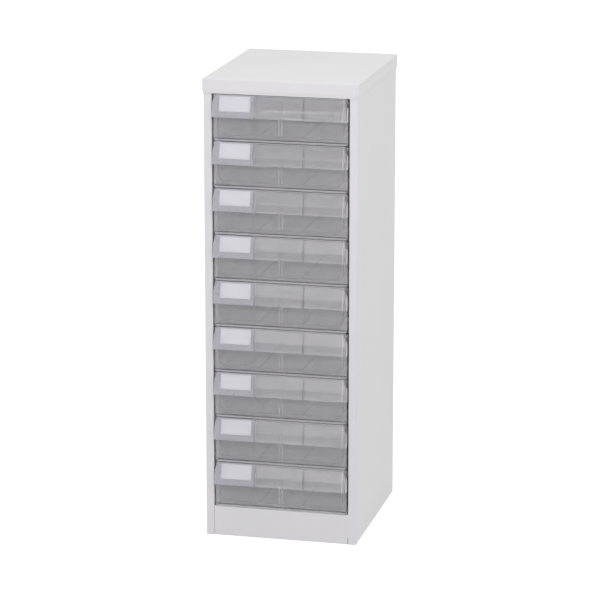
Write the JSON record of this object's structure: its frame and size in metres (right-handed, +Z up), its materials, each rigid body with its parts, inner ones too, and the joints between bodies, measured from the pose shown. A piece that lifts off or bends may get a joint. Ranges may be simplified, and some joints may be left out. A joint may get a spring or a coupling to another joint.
{
  "type": "drawer cabinet",
  "caption": "Tall narrow white steel cabinet on a closed plinth, with a stack of clear plastic A4 drawers, each with a hood to pull by and a card holder.",
  "frame": {"origin": "on the floor, at the centre of the cabinet's outline with its pulls", "axes": "+Z up, the drawers face -Y and pull out along it, +X to the right seen from the front"},
  "size_m": [0.295, 0.358, 0.88],
  "materials": {
    "powder_coated_steel": "white powder coat, fine texture, satin",
    "zinc_plated_steel": "zinc plated, dull",
    "clear_polystyrene": "clear grey moulding, glossy",
    "clear_label_cover": "clear, lightly frosted",
    "white_card": "white card, matt"
  },
  "bodies": {
    "cabinet": {"side_panel_left": "powder_coated_steel", "side_panel_right": "powder_coated_steel", "back_panel": "powder_coated_steel", "top_cap": "powder_coated_steel", "header_rail": "powder_coated_steel", "plinth_panel": "powder_coated_steel", "floor_pan": "powder_coated_steel", "base_rail_left": "powder_coated_steel", "base_rail_right": "powder_coated_steel", "upright_front_left": "powder_coated_steel", "upright_front_right": "powder_coated_steel", "upright_rear_left": "powder_coated_steel", "upright_rear_right": "powder_coated_steel", "runner_left_1": "zinc_plated_steel", "runner_right_1": "zinc_plated_steel", "runner_left_2": "zinc_plated_steel", "runner_right_2": "zinc_plated_steel", "runner_left_3": "zinc_plated_steel", "runner_right_3": "zinc_plated_steel", "runner_left_4": "zinc_plated_steel", "runner_right_4": "zinc_plated_steel", "runner_left_5": "zinc_plated_steel", "runner_right_5": "zinc_plated_steel", "runner_left_6": "zinc_plated_steel", "runner_right_6": "zinc_plated_steel", "runner_left_7": "zinc_plated_steel", "runner_right_7": "zinc_plated_steel", "runner_left_8": "zinc_plated_steel", "runner_right_8": "zinc_plated_steel", "runner_left_9": "zinc_plated_steel", "runner_right_9": "zinc_plated_steel"},
    "drawer_1": {"drawer_tray_1": "clear_polystyrene", "label_holder_1": "clear_label_cover", "label_card_1": "white_card"},
    "drawer_2": {"drawer_tray_2": "clear_polystyrene", "label_holder_2": "clear_label_cover", "label_card_2": "white_card"},
    "drawer_3": {"drawer_tray_3": "clear_polystyrene", "label_holder_3": "clear_label_cover", "label_card_3": "white_card"},
    "drawer_4": {"drawer_tray_4": "clear_polystyrene", "label_holder_4": "clear_label_cover", "label_card_4": "white_card"},
    "drawer_5": {"drawer_tray_5": "clear_polystyrene", "label_holder_5": "clear_label_cover", "label_card_5": "white_card"},
    "drawer_6": {"drawer_tray_6": "clear_polystyrene", "label_holder_6": "clear_label_cover", "label_card_6": "white_card"},
    "drawer_7": {"drawer_tray_7": "clear_polystyrene", "label_holder_7": "clear_label_cover", "label_card_7": "white_card"},
    "drawer_8": {"drawer_tray_8": "clear_polystyrene", "label_holder_8": "clear_label_cover", "label_card_8": "white_card"},
    "drawer_9": {"drawer_tray_9": "clear_polystyrene", "label_holder_9": "clear_label_cover", "label_card_9": "white_card"}
  },
  "joints": [
    {"name": "drawer_slide_1", "type": "slide", "parent": "cabinet", "child": "drawer_1", "axis": [0, -1, 0], "range_m": [0, 0.255]},
    {"name": "drawer_slide_2", "type": "slide", "parent": "cabinet", "child": "drawer_2", "axis": [0, -1, 0], "range_m": [0, 0.255]},
    {"name": "drawer_slide_3", "type": "slide", "parent": "cabinet", "child": "drawer_3", "axis": [0, -1, 0], "range_m": [0, 0.255]},
    {"name": "drawer_slide_4", "type": "slide", "parent": "cabinet", "child": "drawer_4", "axis": [0, -1, 0], "range_m": [0, 0.255]},
    {"name": "drawer_slide_5", "type": "slide", "parent": "cabinet", "child": "drawer_5", "axis": [0, -1, 0], "range_m": [0, 0.255]},
    {"name": "drawer_slide_6", "type": "slide", "parent": "cabinet", "child": "drawer_6", "axis": [0, -1, 0], "range_m": [0, 0.255]},
    {"name": "drawer_slide_7", "type": "slide", "parent": "cabinet", "child": "drawer_7", "axis": [0, -1, 0], "range_m": [0, 0.255]},
    {"name": "drawer_slide_8", "type": "slide", "parent": "cabinet", "child": "drawer_8", "axis": [0, -1, 0], "range_m": [0, 0.255]},
    {"name": "drawer_slide_9", "type": "slide", "parent": "cabinet", "child": "drawer_9", "axis": [0, -1, 0], "range_m": [0, 0.255]}
  ]
}
